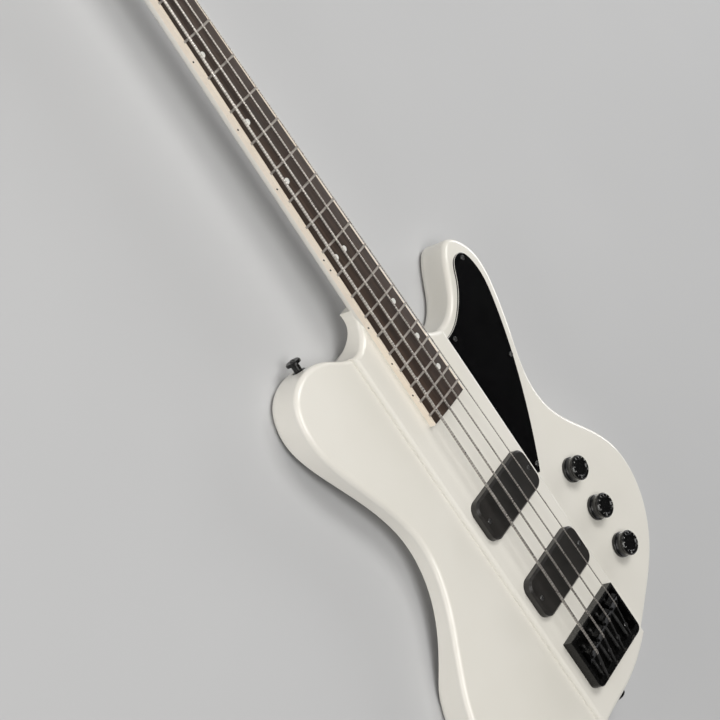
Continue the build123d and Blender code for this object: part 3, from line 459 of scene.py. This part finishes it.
# each screw gets a near-black insert whose colour is painted shade of its cross-head recess
for node, places in recess_shades.items():
    bm = bmesh.new()
    for k, (centre, normal, radius) in enumerate(places):
        cross_recess(bm, centre, normal, radius, 0.5 * k)
    piece(f"{node}_recesses", bm, "body", RECESS_SHADE)

# ---------------------------------------------------------------- knobs: numbers and knurled rim
for index, y in enumerate(KNOB_Y):
    centre = Vector((KNOB_X, y, KNOB_TOP))
    bm = bmesh.new()
    ridge_r, ridges = 12.3, 48
    for k in range(ridges):
        a = 2 * math.pi * k / ridges
        spot = centre + Vector((ridge_r * math.cos(a), ridge_r * math.sin(a), 0))
        tube(bm, [spot + Vector((0, 0, -2.9)), spot + Vector((0, 0, -1.3))], [0.36, 0.36], 6)
    piece(f"knob_{index + 1}_knurl", bm, f"knob_{index + 1}", GLOSS_BLACK)

    letters = []
    for number in range(11):
        a = math.radians(225 - 27 * number)
        curve = bpy.data.curves.new(f"dial_{index}_{number}", "FONT")
        curve.body, curve.size, curve.extrude = str(number), 2.5 * MM, 0.04 * MM
        curve.align_x, curve.align_y = "CENTER", "CENTER"
        text = bpy.data.objects.new(curve.name, curve)
        bpy.context.scene.collection.objects.link(text)
        spot = centre + Vector((10.2 * math.cos(a), 10.2 * math.sin(a), 0.04))
        text.matrix_world = Matrix.Translation(spot * MM) @ Matrix.Rotation(a - math.pi / 2, 4, "Z")
        letters.append(text)
    bpy.context.view_layer.update()
    bm = bmesh.new()
    for text in letters:
        flat = bpy.data.meshes.new_from_object(text.evaluated_get(bpy.context.evaluated_depsgraph_get()))
        flat.transform(text.matrix_world)
        flat.transform(Matrix.Scale(1 / MM, 4))
        bm.from_mesh(flat)
        bpy.data.objects.remove(text)
    piece(f"knob_{index + 1}_numbers", bm, f"knob_{index + 1}", MARK)

# ---------------------------------------------------------------- worm threads on the tuner keys
for i in range(4):
    bm = bmesh.new()
    thread = [tuner_point(i, x, WORM_Y + (WORM_R - 0.15) * math.cos(x * 2.1),
                          WORM_Z + (WORM_R - 0.15) * math.sin(x * 2.1))
              for x in (-7.5 + 15 * k / 96 for k in range(97))]
    tube(bm, thread, [0.42] * len(thread), 6)
    piece(f"tuner_key_{i + 1}_thread", bm, f"key_{i + 1}", BLACK_METAL)

# ---------------------------------------------------------------- floor, world, lamps, camera
bm = bmesh.new()
bmesh.ops.create_grid(bm, x_segments=2, y_segments=2, size=30)
mesh = bpy.data.meshes.new("floor")
bm.to_mesh(mesh)
bm.free()
floor = bpy.data.objects.new("floor", mesh)
bpy.context.scene.collection.objects.link(floor)
paper = Finish("floor_paper", Roughness=0.9, Specular_IOR_Level=0.1)
paper.colour(paper.ramp(paper.noise(3, detail=2), (0.3, (0.50, 0.505, 0.515)), (0.7, (0.515, 0.52, 0.53))))
mesh.materials.append(paper.material)

world = bpy.data.worlds.new("studio")
bpy.context.scene.world = world
world.use_nodes = True
sky = world.node_tree
background = sky.nodes["Background"]
direction = sky.nodes.new("ShaderNodeTexCoord")
split = sky.nodes.new("ShaderNodeSeparateXYZ")
shade = sky.nodes.new("ShaderNodeValToRGB")
sky.links.new(direction.outputs["Generated"], split.inputs["Vector"])
sky.links.new(split.outputs["Z"], shade.inputs["Fac"])
sky.links.new(shade.outputs["Color"], background.inputs["Color"])
shade.color_ramp.elements[0].position = 0.08
shade.color_ramp.elements[0].color = (0.80, 0.80, 0.82, 1.0)
shade.color_ramp.elements[1].position = 0.42
shade.color_ramp.elements[1].color = (0.018, 0.018, 0.019, 1.0)


def lamp(name, place, target, size, watts, colour=(1.0, 1.0, 1.0)):
    """Soft rectangular lamp aimed at a point."""
    light = bpy.data.lights.new(name, "AREA")
    light.shape, light.size, light.size_y = "RECTANGLE", *size
    light.energy, light.color = watts, colour
    made = bpy.data.objects.new(name, light)
    made.location = place
    made.rotation_euler = (Vector(target) - Vector(place)).to_track_quat("-Z", "Y").to_euler()
    bpy.context.scene.collection.objects.link(made)


lamp("key", (-1.0, 0.5, 2.6), (0.0, 0.25, 0.0), (1.6, 1.6), 44, (1.0, 0.985, 0.955))
lamp("top", (0.8, 1.4, 2.4), (0.0, 0.25, 0.0), (1.8, 1.0), 36, (1.0, 0.985, 0.955))
lamp("side", (-2.6, 1.3, 0.55), (0.0, 0.2, 0.0), (2.2, 0.8), 26, (1.0, 0.97, 0.93))
lamp("rim", (2.2, 0.2, 0.7), (0.1, 0.2, 0.0), (1.6, 0.5), 14)

camera = bpy.data.objects.new("camera", bpy.data.cameras.new("camera"))
camera.data.sensor_width = 36.0
camera.data.lens = 128.76
camera.data.clip_start, camera.data.clip_end = 0.05, 100.0
right, up, back = (Vector(v) for v in ((0.46690, -0.54230, 0.69851), (0.55446, 0.79487, 0.24649),
                                       (-0.68890, 0.27221, 0.67180)))
camera.matrix_world = Matrix.Translation((-1.67791, 0.99902, 1.62294)) @ Matrix((right, up, back)).transposed().to_4x4()
bpy.context.scene.collection.objects.link(camera)
bpy.context.scene.camera = camera
bpy.context.scene.view_settings.view_transform = "Standard"
